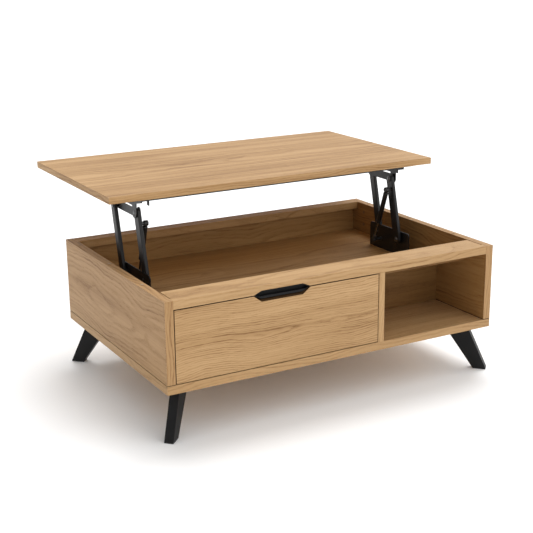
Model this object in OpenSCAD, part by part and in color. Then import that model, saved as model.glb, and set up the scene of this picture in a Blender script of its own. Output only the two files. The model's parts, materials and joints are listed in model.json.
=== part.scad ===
// Lift top coffee table: an oak case on splayed steel legs, with a drawer, an open
// cubby and a lid that a pair of parallel-arm lifts carries up and back.
// Millimetres, +Z up. The origin is on the floor, under the centre of the raised table's box.
// The drawer side faces -Y. The lid is drawn raised.

/* [Carcass] */
// Length of the case along X
carcass_l = 1100; // [1080:5:1110]
// Depth of the case along Y
carcass_d = 750; // [740:5:770]
// Height of the case from the underside of its bottom panel to its rim
carcass_h = 262; // [258:1:275]
// Thickness of the bottom, side and front top boards
board_t = 25; // [22:1:26]
// Thickness of the back panel
back_t = 18; // [15:1:20]
// Depth of the fixed board that covers the front of the case
front_board_d = 90; // [88:1:94]
// Depth of the rail inside the top of the back panel
back_rail_d = 27; // [24:1:30]
// Distance from the rim down to the storage floor
storage_depth = 104; // [102:1:110]
// Thickness of the storage floor
storage_floor_t = 15; // [12:1:16]
// Centre of the divider between the drawer and the cubby
divider_x = 140; // [100:5:200]
// Thickness of the divider
divider_t = 20; // [16:1:22]

/* [Lid] */
// Length of the lid along X
lid_l = 1120; // [1120:5:1140]
// Depth of the lid along Y
lid_d = 625; // [622:1:635]
// Thickness of the lid
lid_t = 20; // [18:1:25]
// Distance from the rim up to the raised lid
lid_lift = 196; // [180:1:198]

/* [Lift mechanism] */
// Distance between the two pivots of an arm
arm_r = 200; // [200:1:206]
// Distance between the front and the rear arm
arm_gap = 130; // [125:1:135]
// Place of the front base pivot behind (+) or before (-) the centre of the case
front_pivot_y = -22; // [-26:1:-18]
// Distance from the rim down to the base pivots
pivot_drop = 47; // [44:1:50]
// Distance from the centre of the case to the inboard face of the front arms
arm_x = 442; // [430:1:466]
// Width of a front arm
front_arm_w = 30; // [26:1:32]
// Width of a rear arm
rear_arm_w = 25; // [22:1:28]

/* [Drawer] */
// Gap around the drawer front
drawer_gap = 2.5; // [2:0.5:3]
// Thickness of the drawer front
drawer_front_t = 18; // [16:1:20]
// Thickness of the drawer box boards
drawer_side_t = 12; // [12:1:15]
// Height of the drawer box
drawer_box_h = 90; // [80:1:92]
// Depth of the drawer box behind the drawer front
drawer_box_d = 600; // [580:10:620]
// Centre of the finger pull along X
pull_x = -194; // [-260:2:-100]

/* [Legs] */
// Height of the legs, from the floor to the case
leg_h = 142; // [130:1:160]
// Place of the leg's foot along X from the centre of the case
foot_x = 535; // [520:1:535]
// Place of the leg's foot along Y from the centre of the case
foot_y = 355; // [345:1:360]
// How far each leg splays out along X, and along Y
leg_splay = 50; // [30:1:60]
// Width of a leg across its splay
leg_t = 27; // [24:1:30]

/* [Hidden] */
$fn = 64;

// Case heights and faces
case_z = leg_h;
deck_z = case_z + board_t;
rim_z = case_z + carcass_h;
front_board_z = rim_z - board_t;
storage_z = rim_z - storage_depth;
floor_under_z = storage_z - storage_floor_t;
inner_x = carcass_l / 2 - board_t;
half_d = carcass_d / 2;

// The storage well's front: a short rail, then a board that slopes down to the storage floor
rail_t = 12;
slope_board_t = 9;
slope_start_z = rim_z - 59;
slope_end = 240;
slope_rise = 0.364;
cubby_back_t = 12;

// Lift geometry: the arms lean back past upright when raised and lie level when closed
bumper_h = 1.5;
lid_rest_gap = 0.3;
raised_z = rim_z + lid_lift;
closed_z = rim_z + bumper_h + lid_rest_gap;
rise = raised_z - closed_z;
lean = acos(rise / arm_r);
lid_shift = arm_r * (1 + sin(lean));

// Legs: one closed profile in the plane that holds the splay
leg_top_w = 58;
leg_foot_w = 41;
glide_h = 3;
leg_reach = leg_splay * sqrt(2);
foot_corner = (leg_foot_w + leg_t) / 2 / sqrt(2);

// Place of the case in Y, so that the origin is under the centre of the whole box
lid_overlap = 4;
lid_closed_front = -half_d + front_board_d - lid_overlap;
lid_front = lid_closed_front + lid_shift;
front_reach = max(half_d, foot_y + foot_corner);
case_y = (front_reach - lid_front - lid_d) / 2;
front_y = case_y - half_d;
back_y = case_y + half_d;
board_back_y = front_y + front_board_d;
rail_y = board_back_y - rail_t;
slope_end_y = front_y + slope_end;
slope_end_z = slope_start_z - slope_rise * (slope_end - front_board_d);
lid_y = case_y + lid_front;

// Pivots
base_z = rim_z - pivot_drop;
front_base = [case_y + front_pivot_y, base_z];
rear_base = [case_y + front_pivot_y + arm_gap, base_z];
arm_step = [arm_r * sin(lean), arm_r * cos(lean)];
front_top = front_base + arm_step;
rear_top = rear_base + arm_step;

// Slices of the lift across X, from the inboard side out
arm_depth = 12;
steel_t = 2;
bend_r = 3.5;
slice_gap = 2;
web_t = 3;
web_x = arm_x + arm_depth + slice_gap;
rear_arm_x = web_x + web_t + slice_gap + 0.5;
flange_t = 3;
flange_w = 37;
flange_out_x = web_x + web_t + flange_w;
pin_r = 5;
pin_clearance = 0.05;
pin_head_r = 9;
pin_head_t = 3.5;
rivet_r = 7;
rivet_t = 1.5;
pin_gap = 0.5;

// Base plate of a lift
base_front_y = front_base[0] - 50;
base_back_y = rear_base[0] + 40;
base_top_z = base_z + 25;
base_corner_r = 10;

// Lid bracket of a lift
bracket_front_y = front_top[0] - 58;
bracket_back_y = rear_top[0] + 16;
bar_r = 11;
nose_r = 16;
slot_h = 6;

// Gas strut of a lift
strut_r = 8;
strut_x = arm_x - 6 - 2 * strut_r;
strut_len = 128;
rod_r = 4;
rod_len = 168;
eye_r = 9;
strut_on_arm = 165;
strut_base = rear_base + [-25, -22];
strut_top = front_base + arm_step * strut_on_arm / arm_r;
strut_lean = atan2(strut_base[0] - strut_top[0], strut_top[1] - strut_base[1]);
strut_span = norm(strut_top - strut_base);

// Drawer
runner_t = 12.5;
drawer_left_x = -inner_x;
drawer_right_x = divider_x - divider_t / 2;
box_left_x = drawer_left_x + runner_t;
box_right_x = drawer_right_x - runner_t;
box_z = deck_z + 13;
box_y = front_y + drawer_front_t;
box_bottom_t = 6;
groove_depth = 5;
groove_z = box_z + 8;
runner_z = deck_z + 55;
runner_y = box_y + 2;
runner_len = 550;
front_z0 = deck_z + drawer_gap;
front_z1 = front_board_z - drawer_gap;

// Finger pull: a six-sided recess that the drawer front and the front board share
pull_half = 92;
pull_end = 26;
pull_up = 10.5;
pull_down = 12;
pull_bevel = 8;
pull_set_back = 3;
pull_depth = 14;
pull_wall = 2;
pull_gap = 1;
pull_lip_h = 7;
pull_z = front_board_z - drawer_gap / 2;

// Screws
screw_r = 2.2;
screw_head_r = 4.5;
screw_head_t = 2.4;
confirmat_r = 3.5;
confirmat_head_r = 5;
confirmat_head_t = 4;
confirmat_len = 55;
leg_screw_len = 16;
base_screw_len = 11;
lid_screw_len = 13;
front_screw_len = 22;

// Colours, as seen
OAK = [0.78, 0.62, 0.44];
OAK_EDGE = [0.84, 0.70, 0.52];
OAK_DARK = [0.52, 0.37, 0.22];
BLACK = [0.10, 0.10, 0.10];
STEEL = [0.70, 0.71, 0.72];
FELT = [0.70, 0.55, 0.38];

// ---- Helpers ----

// A box between two corners
module block(low, high) translate(low) cube(high - low);

// Extrudes an outline drawn in (Y, Z) from x0 over t along +X
module yz(x0, t) translate([x0, 0, 0]) rotate([90, 0, 90]) linear_extrude(t) children();

// Extrudes an outline drawn in (X, Z) from y0 over t along +Y
module xz(y0, t) translate([0, y0 + t, 0]) rotate([90, 0, 0]) linear_extrude(t) children();

// A round bar along +X, centred on a point given as [y, z]
module bar_x(x0, len, r, at) translate([x0, at[0], at[1]]) rotate([0, 90, 0]) cylinder(h = len, r = r);

// The left half of the table is the mirror of the right half
module left() mirror([1, 0, 0]) children();
module both() {
  children();
  left() children();
}

// An outline with round ends around two points of the (Y, Z) plane, one above the other
module slot_outline(r, span) {
  circle(r = r);
  translate([0, span]) circle(r = r);
  translate([-r, 0]) square([2 * r, span]);
}

// A pan-head screw that goes up from the face at the origin, with its head below that face
module screw_up(len, r = screw_r, head_r = screw_head_r, head_t = screw_head_t) {
  cylinder(h = len, r = r);
  translate([0, 0, -head_t]) cylinder(h = head_t, r = head_r);
}

// ---- Screw places, shared by the screws and by the holes they sit in ----

carcass_screw_y = [for (k = [-1.5:1:1.5]) case_y + k * carcass_d / 4.6];
carcass_screw_x = [-carcass_l / 2 + board_t / 2, carcass_l / 2 - board_t / 2, divider_x];
leg_plate_r = 52;
leg_plate_t = 5;
leg_screw_at = 40;
leg_screw_side = 24;
base_screw_x = web_x + web_t + 22;
base_screw_y = [for (k = [0:3]) base_front_y + 20 + k * (base_back_y - base_front_y - 40) / 3];
lid_screw_y = [for (k = [0:3]) bracket_front_y + 30 + k * (bracket_back_y - bracket_front_y - 45) / 3];
front_screw_x = [box_left_x + 60, box_left_x + 240, box_right_x - 240, box_right_x - 60];
front_screw_z = box_z + 60;

module at_carcass_screws() {
  for (x = carcass_screw_x) for (y = carcass_screw_y) translate([x, y, case_z]) children();
}

// Places a leg's parts: the local X axis points out along the splay
module at_leg(sx, sy) {
  turn = sy > 0 ? (sx > 0 ? 45 : 135) : (sx > 0 ? -45 : -135);
  translate([sx * (foot_x - leg_splay), case_y + sy * (foot_y - leg_splay), 0])
    rotate([0, 0, turn]) children();
}

module at_legs() {
  for (sx = [-1, 1]) for (sy = [-1, 1]) at_leg(sx, sy) children();
}

// Four screws around the top of a leg
module at_leg_screws() {
  for (u = [-1, 1]) for (v = [-1, 1])
    translate([u * leg_screw_at - 4, v * leg_screw_side, case_z - leg_plate_t]) children();
}

// ---- Case ----

module bottom_panel() color(OAK) difference() {
  block([-carcass_l / 2, front_y, case_z], [carcass_l / 2, back_y, deck_z]);
  at_carcass_screws() cylinder(h = board_t, r = confirmat_r);
  at_carcass_screws() cylinder(h = confirmat_head_t, r = confirmat_head_r);
  at_legs() at_leg_screws() cylinder(h = leg_screw_len, r = screw_r);
}

// A side panel, with a shadow line along its outer face where it stands on the bottom panel
seam_h = 2;
seam_depth = 3;
module side_panel() difference() {
  block([inner_x, front_y, deck_z], [carcass_l / 2, back_y, rim_z]);
  block([carcass_l / 2 - seam_depth, front_y + seam_depth, deck_z], [carcass_l / 2, back_y, deck_z + seam_h]);
  for (y = carcass_screw_y)
    translate([carcass_l / 2 - board_t / 2, y, case_z]) cylinder(h = confirmat_len, r = confirmat_r);
}

module back_panel() color(OAK_DARK)
  block([-inner_x, back_y - back_t, deck_z], [inner_x, back_y, rim_z]);

module back_top_rail() color(OAK_DARK)
  block([-inner_x, back_y - back_t - back_rail_d, rim_z - board_t], [inner_x, back_y - back_t, rim_z]);

// The front board stops short of the sides along a shadow gap behind its front edge
shadow_gap = 3;
shadow_start = 22;
module front_top_board() color(OAK) difference() {
  block([-inner_x, front_y, front_board_z], [inner_x, board_back_y, rim_z]);
  both() block([inner_x - shadow_gap, front_y + shadow_start, front_board_z],
               [inner_x, board_back_y, rim_z]);
  xz(front_y, pull_set_back + pull_depth + pull_gap) translate([pull_x, pull_z]) polygon([
    [-pull_half, -drawer_gap], [pull_half, -drawer_gap], [pull_half, 0],
    [pull_half - pull_end, pull_up + pull_gap], [-pull_half + pull_end, pull_up + pull_gap],
    [-pull_half, 0]
  ]);
}

// The divider follows what it carries: the front board, the rail, the slope and the storage floor
module divider_panel() color(OAK) difference() {
  yz(divider_x - divider_t / 2, divider_t) polygon([
    [front_y, deck_z], [back_y - back_t, deck_z], [back_y - back_t, floor_under_z],
    [slope_end_y, floor_under_z], [slope_end_y, slope_end_z], [board_back_y, slope_start_z],
    [rail_y, slope_start_z], [rail_y, front_board_z], [front_y, front_board_z]
  ]);
  for (y = carcass_screw_y)
    translate([divider_x, y, case_z]) cylinder(h = confirmat_len, r = confirmat_r);
}

module storage_floor() color(OAK_DARK) difference() {
  block([-inner_x, slope_end_y, floor_under_z], [inner_x, back_y - back_t, storage_z]);
  both() for (y = base_screw_y)
    translate([base_screw_x, y, storage_z - base_screw_len]) cylinder(h = base_screw_len, r = screw_r);
}

module storage_front_rail() color(OAK_DARK)
  block([-inner_x, rail_y, slope_start_z], [inner_x, board_back_y, front_board_z]);

// The sloped front of the storage well, which is also the roof of the cubby
slope_t = slope_board_t * sqrt(1 + slope_rise * slope_rise);
module storage_slope() color(OAK_DARK) yz(-inner_x, 2 * inner_x) polygon([
  [board_back_y, slope_start_z], [slope_end_y, slope_end_z],
  [slope_end_y, slope_end_z + slope_t], [board_back_y, slope_start_z + slope_t]
]);

module cubby_back() color(OAK_DARK)
  block([divider_x + divider_t / 2, slope_end_y, deck_z],
        [inner_x, slope_end_y + cubby_back_t, floor_under_z]);

module carcass_screws() color(STEEL) at_carcass_screws() {
  cylinder(h = confirmat_len, r = confirmat_r);
  cylinder(h = confirmat_head_t, r = confirmat_head_r);
}

bumper_y = [-200, 40, 280];
bumper_r = 5;
module lid_bumpers() color(FELT) both() for (y = bumper_y)
  translate([carcass_l / 2 - board_t / 2, case_y + y, rim_z]) cylinder(h = bumper_h, r = bumper_r);

// ---- Legs ----

// Outline of a leg in the plane of its splay, with a gusset on the inner side
module leg_outline() {
  top = case_z - leg_plate_t;
  polygon([
    [leg_reach - leg_foot_w / 2, glide_h], [leg_reach + leg_foot_w / 2, glide_h],
    [leg_top_w / 2 + 1, top], [-leg_plate_r + 4, top], [-leg_plate_r + 8, top - 10],
    [-leg_top_w / 2 - 2, top - 22], [-leg_top_w / 2 + 3, top - 26]
  ]);
}

module leg(sx, sy) color(BLACK) at_leg(sx, sy) {
  translate([0, leg_t / 2, 0]) rotate([90, 0, 0]) linear_extrude(leg_t) leg_outline();
  difference() {
    block([-leg_plate_r - 4, -leg_plate_r + 16, case_z - leg_plate_t],
          [leg_plate_r - 4, leg_plate_r - 16, case_z]);
    at_leg_screws() cylinder(h = leg_plate_t, r = screw_r);
  }
}

module leg_screws() color(STEEL) at_legs() at_leg_screws() screw_up(leg_screw_len);

module foot_glides() color(BLACK) at_legs()
  block([leg_reach - leg_foot_w / 2, -leg_t / 2, 0], [leg_reach + leg_foot_w / 2, leg_t / 2, glide_h]);

// ---- Lift mechanism, right side ----

// A pivot pin through an arm whose inboard face is at x0, riveted into a web on one side
module inboard_pin(at) {
  bar_x(arm_x - pin_gap - pin_head_t, pin_head_t, pin_head_r, at);
  bar_x(arm_x - pin_gap, web_x + web_t - arm_x + pin_gap, pin_r, at);
  bar_x(arm_x + arm_depth + pin_gap, web_x - arm_x - arm_depth - pin_gap, rivet_r, at);
  bar_x(web_x + web_t, rivet_t, rivet_r, at);
}

module outboard_pin(at) {
  end_x = rear_arm_x + arm_depth + pin_gap;
  bar_x(web_x, end_x - web_x, pin_r, at);
  bar_x(end_x, pin_head_t, pin_head_r, at);
  bar_x(web_x + web_t, rear_arm_x - pin_gap - web_x - web_t, rivet_r, at);
  bar_x(web_x - rivet_t, rivet_t, rivet_r, at);
}

// The base plate: an upright web with round top corners on a flange screwed to the floor
module mech_base() difference() {
  union() {
    yz(web_x, web_t) {
      polygon([
        [base_front_y, storage_z], [base_back_y, storage_z], [base_back_y, base_top_z - base_corner_r],
        [base_back_y - base_corner_r, base_top_z], [base_front_y + base_corner_r, base_top_z],
        [base_front_y, base_top_z - base_corner_r]
      ]);
      for (y = [base_front_y + base_corner_r, base_back_y - base_corner_r])
        translate([y, base_top_z - base_corner_r]) circle(r = base_corner_r);
    }
    block([web_x + web_t, base_front_y, storage_z], [flange_out_x, base_back_y, storage_z + flange_t]);
  }
  for (at = [front_base, rear_base]) bar_x(web_x - 1, web_t + 2, pin_r, at);
  bar_x(web_x - 1, web_t + 2, rod_r, strut_base);
  for (y = base_screw_y) translate([base_screw_x, y, storage_z - 1]) cylinder(h = flange_t + 2, r = screw_r);
}

module mech_base_screws() color(STEEL) both() for (y = base_screw_y)
  translate([base_screw_x, y, storage_z + flange_t]) mirror([0, 0, 1]) screw_up(base_screw_len + flange_t);

module base_pivot_pins() color(STEEL) both() {
  inboard_pin(front_base);
  outboard_pin(rear_base);
}

// The stud that the strut's rod end turns on
module strut_base_studs() color(STEEL) both() {
  bar_x(strut_x - 1, web_x + web_t - strut_x + 1, rod_r, strut_base);
  bar_x(strut_x + 2 * strut_r, web_x - strut_x - 2 * strut_r, rod_r + 3, strut_base);
  bar_x(strut_x - 4, 3, rod_r + 3, strut_base);
}

// The cross-section of an arm, inset from its outer faces, with its two front corners rounded to r
module rounded_front(x0, w, inset, r) {
  low = -w / 2 + inset;
  width = arm_depth - 2 * inset;
  translate([x0 + inset + r, low]) square([width - 2 * r, w]);
  translate([x0 + inset, low + r]) square([width, w - r]);
  for (x = [x0 + inset + r, x0 + inset + width - r]) translate([x, low + r]) circle(r = r);
}

// A channel arm bent from sheet, open at the back, that stands on its base pivot and leans back
module arm(x0, w, base) translate([0, base[0], base[1]]) rotate([-lean, 0, 0]) difference() {
  intersection() {
    yz(x0, arm_depth) slot_outline(w / 2, arm_r);
    translate([0, 0, -w]) linear_extrude(arm_r + 2 * w) difference() {
      rounded_front(x0, w, 0, bend_r);
      rounded_front(x0, w, steel_t, bend_r - steel_t);
    }
  }
  for (z = [0, arm_r]) bar_x(x0 - 1, arm_depth + 2, pin_r + pin_clearance, [0, z]);
}

module front_arm() difference() {
  arm(arm_x, front_arm_w, front_base);
  bar_x(arm_x - 1, steel_t + 1, rod_r, strut_top);
}

module rear_arm() arm(rear_arm_x, rear_arm_w, rear_base);

// The stud on the front arm that the strut pushes on
module strut_arm_stud() {
  bar_x(arm_x - 5, 5, rod_r + 2, strut_top);
  bar_x(arm_x, steel_t, rod_r, strut_top);
}

// Places a strut's parts: the local Z axis points along the strut
module at_strut() translate([strut_x + strut_r, strut_base[0], strut_base[1]]) rotate([strut_lean, 0, 0])
  children();

module strut_rod() at_strut() difference() {
  union() {
    cylinder(h = rod_len, r = rod_r);
    bar_x(-strut_r + 1, 2 * strut_r - 2, eye_r - 1, [0, 0]);
  }
  bar_x(-strut_r, 2 * strut_r, rod_r + pin_clearance, [0, 0]);
}

module strut_tube() at_strut() difference() {
  union() {
    translate([0, 0, strut_span - strut_len]) cylinder(h = strut_len - eye_r, r = strut_r);
    bar_x(-strut_r, 2 * strut_r, eye_r, [0, strut_span]);
  }
  translate([0, 0, strut_span - strut_len - 1])
    cylinder(h = rod_len + 4 - strut_span + strut_len, r = rod_r + pin_clearance);
}

// ---- Lid ----

module lid_panel() color(OAK) difference() {
  block([-lid_l / 2, lid_y, raised_z], [lid_l / 2, lid_y + lid_d, raised_z + lid_t]);
  both() for (y = lid_screw_y)
    translate([base_screw_x, y, raised_z]) cylinder(h = lid_screw_len, r = screw_r);
}

// The lid bracket: a web with a round nose over the front pivot and a long slot above its
// lower bar, hung from a flange
module lid_bracket() difference() {
  union() {
    yz(web_x, web_t) {
      translate([front_top[0] - nose_r, front_top[1]])
        square([rear_top[0] - front_top[0] + nose_r + bar_r, raised_z - front_top[1]]);
      translate([front_top[0], front_top[1] - bar_r]) square([rear_top[0] - front_top[0], 2 * bar_r]);
      translate(front_top) circle(r = nose_r);
      translate(rear_top) circle(r = bar_r);
      polygon([
        [bracket_front_y, raised_z], [front_top[0], raised_z],
        [front_top[0], raised_z - 24], [bracket_front_y, raised_z - 10]
      ]);
    }
    block([web_x + web_t, bracket_front_y, raised_z - flange_t], [flange_out_x, bracket_back_y, raised_z]);
  }
  for (at = [front_top, rear_top]) bar_x(web_x - 1, web_t + 2, pin_r, at);
  yz(web_x - 1, web_t + 2) for (y = [front_top[0] + front_arm_w / 2, rear_top[0] - front_arm_w / 2])
    translate([y, front_top[1] + bar_r + slot_h]) circle(r = slot_h / 2);
  yz(web_x - 1, web_t + 2) translate([front_top[0] + front_arm_w / 2, front_top[1] + bar_r + slot_h / 2])
    square([arm_gap - front_arm_w, slot_h]);
  for (y = lid_screw_y) translate([base_screw_x, y, raised_z - flange_t - 1])
    cylinder(h = flange_t + 2, r = screw_r);
}

module lid_bracket_screws() color(STEEL) both() for (y = lid_screw_y)
  translate([base_screw_x, y, raised_z - flange_t]) screw_up(lid_screw_len + flange_t);

module lid_pivot_pins() color(STEEL) both() {
  inboard_pin(front_top);
  outboard_pin(rear_top);
}

// The bar under the lid's front edge that ties the two lifts together, with a hook at each end
crossbar_y = lid_y + 9;
crossbar_w = 12;
crossbar_t = 6;
hook_x = arm_x - 8;
module lid_crossbar() color(BLACK) {
  block([-web_x, crossbar_y, raised_z - crossbar_t], [web_x, crossbar_y + crossbar_w, raised_z]);
  both() block([hook_x, crossbar_y, raised_z - 20],
               [hook_x + 3, crossbar_y + crossbar_w, raised_z - crossbar_t]);
}

// ---- Drawer ----

// The recess in the drawer front is wider at its front face than at its back
module pull_bevel_cut() hull() {
  xz(front_y - 1, 1) pull_half_outline(pull_down + pull_bevel);
  xz(front_y + pull_depth - 1, 1) pull_half_outline(pull_down);
}

module pull_half_outline(depth) translate([pull_x, pull_z]) polygon([
  [-pull_half, 2 * drawer_gap], [-pull_half, 0], [-pull_half + pull_end, -depth],
  [pull_half - pull_end, -depth], [pull_half, 0], [pull_half, 2 * drawer_gap]
]);

module drawer_front() color(OAK) difference() {
  block([drawer_left_x + drawer_gap, front_y, front_z0],
        [drawer_right_x - drawer_gap, front_y + drawer_front_t, front_z1]);
  pull_bevel_cut();
  xz(front_y, drawer_front_t + 1) pull_half_outline(pull_down);
  for (x = front_screw_x) translate([x, box_y, front_screw_z]) rotate([90, 0, 0])
    cylinder(h = front_screw_len - drawer_side_t, r = screw_r);
}

module drawer_inner_front() color(OAK_DARK) difference() {
  block([box_left_x + drawer_side_t, box_y, box_z],
        [box_right_x - drawer_side_t, box_y + drawer_side_t, box_z + drawer_box_h]);
  for (x = front_screw_x) translate([x, box_y + drawer_side_t + 1, front_screw_z]) rotate([90, 0, 0])
    cylinder(h = drawer_side_t + 2, r = screw_r);
  block([box_left_x, box_y + drawer_side_t - groove_depth, groove_z],
        [box_right_x, box_y + drawer_side_t + 1, groove_z + box_bottom_t]);
}

// A drawer side with the groove that holds the bottom
module drawer_side(x0, groove_x0) color(OAK_DARK) difference() {
  block([x0, box_y, box_z], [x0 + drawer_side_t, box_y + drawer_box_d, box_z + drawer_box_h]);
  block([groove_x0, box_y + drawer_side_t - groove_depth, groove_z],
        [groove_x0 + groove_depth, box_y + drawer_box_d - drawer_side_t, groove_z + box_bottom_t]);
}

module drawer_left_side() drawer_side(box_left_x, box_left_x + drawer_side_t - groove_depth);

module drawer_right_side() drawer_side(box_right_x - drawer_side_t, box_right_x - drawer_side_t);

module drawer_back() color(OAK_DARK)
  block([box_left_x + drawer_side_t, box_y + drawer_box_d - drawer_side_t, box_z],
        [box_right_x - drawer_side_t, box_y + drawer_box_d, box_z + drawer_box_h]);

module drawer_bottom() color(OAK_DARK)
  block([box_left_x + drawer_side_t - groove_depth, box_y + drawer_side_t - groove_depth, groove_z],
        [box_right_x - drawer_side_t + groove_depth, box_y + drawer_box_d - drawer_side_t,
         groove_z + box_bottom_t]);

module pull_outline(inset, depth) translate([pull_x, pull_z]) polygon([
  [-pull_half + 2 + 1.2 * inset, 0], [-pull_half + pull_end + 1 + inset / 2, pull_up - inset],
  [pull_half - pull_end - 1 - inset / 2, pull_up - inset], [pull_half - 2 - 1.2 * inset, 0],
  [pull_half - pull_end - inset / 2, -depth + inset], [-pull_half + pull_end + inset / 2, -depth + inset]
]);

// The pull: a shallow pan with a lip along its lower front edge for the fingers
module drawer_pull() color(BLACK) intersection() {
  xz(front_y, drawer_front_t) pull_outline(0, pull_down);
  union() {
    difference() {
      xz(front_y + pull_set_back, pull_depth) pull_outline(0, pull_down);
      xz(front_y + pull_set_back - 1, pull_depth - pull_wall + 1) pull_outline(pull_wall, pull_down);
    }
    block([pull_x - pull_half, front_y + pull_set_back, pull_z - pull_down],
          [pull_x + pull_half, front_y + pull_set_back + pull_wall, pull_z - pull_down + pull_lip_h]);
  }
}

module drawer_front_screws() color(STEEL) for (x = front_screw_x)
  translate([x, box_y + drawer_side_t, front_screw_z]) rotate([90, 0, 0]) screw_up(front_screw_len);

// A runner's member: a channel of the given height whose web is at x0 and whose lips reach to x1
module runner_member(x0, x1, height) {
  web = sign(x1 - x0) * 1.2;
  y1 = runner_y + runner_len;
  block([min(x0, x0 + web), runner_y, runner_z - height / 2], [max(x0, x0 + web), y1, runner_z + height / 2]);
  for (z = [runner_z - height / 2, runner_z + height / 2 - 1.2])
    block([min(x0, x1), runner_y, z], [max(x0, x1), y1, z + 1.2]);
}

// The three members of a runner, from the case (side = 1 for a case wall on the left)
module runner_cabinet(wall_x, side) color(STEEL) runner_member(wall_x, wall_x + side * 9, 45);
module runner_middle(wall_x, side) color(STEEL)
  runner_member(wall_x + side * 4, wall_x + side * 10.5, 38);
module runner_drawer(wall_x, side) color(STEEL)
  runner_member(wall_x + side * runner_t, wall_x + side * 7, 29);

// ---- Parts ----

bottom_panel();
color(OAK) left() side_panel();  // left_side_panel
color(OAK) side_panel();  // right_side_panel
back_panel();
back_top_rail();
front_top_board();
divider_panel();
storage_floor();
storage_slope();
storage_front_rail();
cubby_back();
carcass_screws();
lid_bumpers();
leg(-1, -1);  // leg_front_left
leg(1, -1);  // leg_front_right
leg(-1, 1);  // leg_back_left
leg(1, 1);  // leg_back_right
leg_screws();
foot_glides();
color(BLACK) left() mech_base();  // mech_base_left
color(BLACK) mech_base();  // mech_base_right
mech_base_screws();
base_pivot_pins();
strut_base_studs();
color(BLACK) left() front_arm();  // front_arm_left
color(BLACK) front_arm();  // front_arm_right
color(STEEL) left() strut_arm_stud();  // strut_arm_stud_left
color(STEEL) strut_arm_stud();  // strut_arm_stud_right
color(BLACK) left() rear_arm();  // rear_arm_left
color(BLACK) rear_arm();  // rear_arm_right
color(STEEL) left() strut_rod();  // strut_rod_left
color(STEEL) strut_rod();  // strut_rod_right
color(BLACK) left() strut_tube();  // strut_tube_left
color(BLACK) strut_tube();  // strut_tube_right
lid_panel();
color(BLACK) left() lid_bracket();  // lid_bracket_left
color(BLACK) lid_bracket();  // lid_bracket_right
lid_bracket_screws();
lid_pivot_pins();
lid_crossbar();
drawer_front();
drawer_inner_front();
drawer_left_side();
drawer_right_side();
drawer_back();
drawer_bottom();
drawer_pull();
drawer_front_screws();
runner_cabinet(drawer_left_x, 1);  // runner_cabinet_left
runner_cabinet(drawer_right_x, -1);  // runner_cabinet_right
runner_middle(drawer_left_x, 1);  // runner_middle_left
runner_middle(drawer_right_x, -1);  // runner_middle_right
runner_drawer(drawer_left_x, 1);  // runner_drawer_left
runner_drawer(drawer_right_x, -1);  // runner_drawer_right
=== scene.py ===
"""The looks of the lift top coffee table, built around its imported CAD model.

Metres, +Z up, in the frame of the CAD model: the floor is z = 0 and the drawer side faces -Y.
"""

from collections import namedtuple
from math import cos, pi, radians, sin

import bmesh
import bpy
from mathutils import Matrix, Vector
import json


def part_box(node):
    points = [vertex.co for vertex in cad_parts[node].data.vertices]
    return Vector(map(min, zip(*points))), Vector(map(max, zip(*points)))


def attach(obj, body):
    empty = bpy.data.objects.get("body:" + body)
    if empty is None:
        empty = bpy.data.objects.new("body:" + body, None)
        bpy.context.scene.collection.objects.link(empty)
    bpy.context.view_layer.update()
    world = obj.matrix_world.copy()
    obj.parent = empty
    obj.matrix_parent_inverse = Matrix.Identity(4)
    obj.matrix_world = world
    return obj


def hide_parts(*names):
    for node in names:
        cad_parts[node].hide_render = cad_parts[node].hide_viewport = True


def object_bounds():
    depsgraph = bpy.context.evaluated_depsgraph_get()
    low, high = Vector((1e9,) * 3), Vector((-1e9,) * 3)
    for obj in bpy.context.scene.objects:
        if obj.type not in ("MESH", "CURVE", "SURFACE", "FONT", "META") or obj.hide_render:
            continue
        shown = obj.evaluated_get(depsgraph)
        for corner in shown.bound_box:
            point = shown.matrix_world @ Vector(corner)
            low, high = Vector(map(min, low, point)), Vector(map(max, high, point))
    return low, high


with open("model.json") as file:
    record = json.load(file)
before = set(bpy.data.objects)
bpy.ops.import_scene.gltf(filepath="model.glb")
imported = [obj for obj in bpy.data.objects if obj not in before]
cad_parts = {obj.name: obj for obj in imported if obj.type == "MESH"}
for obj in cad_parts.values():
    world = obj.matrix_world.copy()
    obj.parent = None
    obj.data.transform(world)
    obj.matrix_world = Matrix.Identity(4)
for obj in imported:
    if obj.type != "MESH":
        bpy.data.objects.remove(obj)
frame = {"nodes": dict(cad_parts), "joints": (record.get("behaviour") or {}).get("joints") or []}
cad_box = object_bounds()

X, Y, Z = 0, 1, 2

# ---- Camera and light ----

CAMERA_AZIMUTH = radians(-29.2)
CAMERA_ELEVATION = radians(16.3)
CAMERA_ROLL = radians(-0.55)
CAMERA_LENS = 76.7
CAMERA_SENSOR = 36.0
CAMERA_FAR_CLIP = 200.0
CAMERA_DISTANCE = 3.642
CAMERA_TARGET = Vector((0.016, -0.012, -0.010))

FLOOR_SIZE = 80.0
SUN_DIRECTION = Vector((0.30, 0.42, 1.0))
SUN_SPREAD = radians(34)
SUN_STRENGTH = 1.95
SKY_STRENGTH = 0.82
SKY_BRIGHT_SIDE = Vector((0.55, -0.45, 0.1))

# ---- Colours and tints, linear ----

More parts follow.
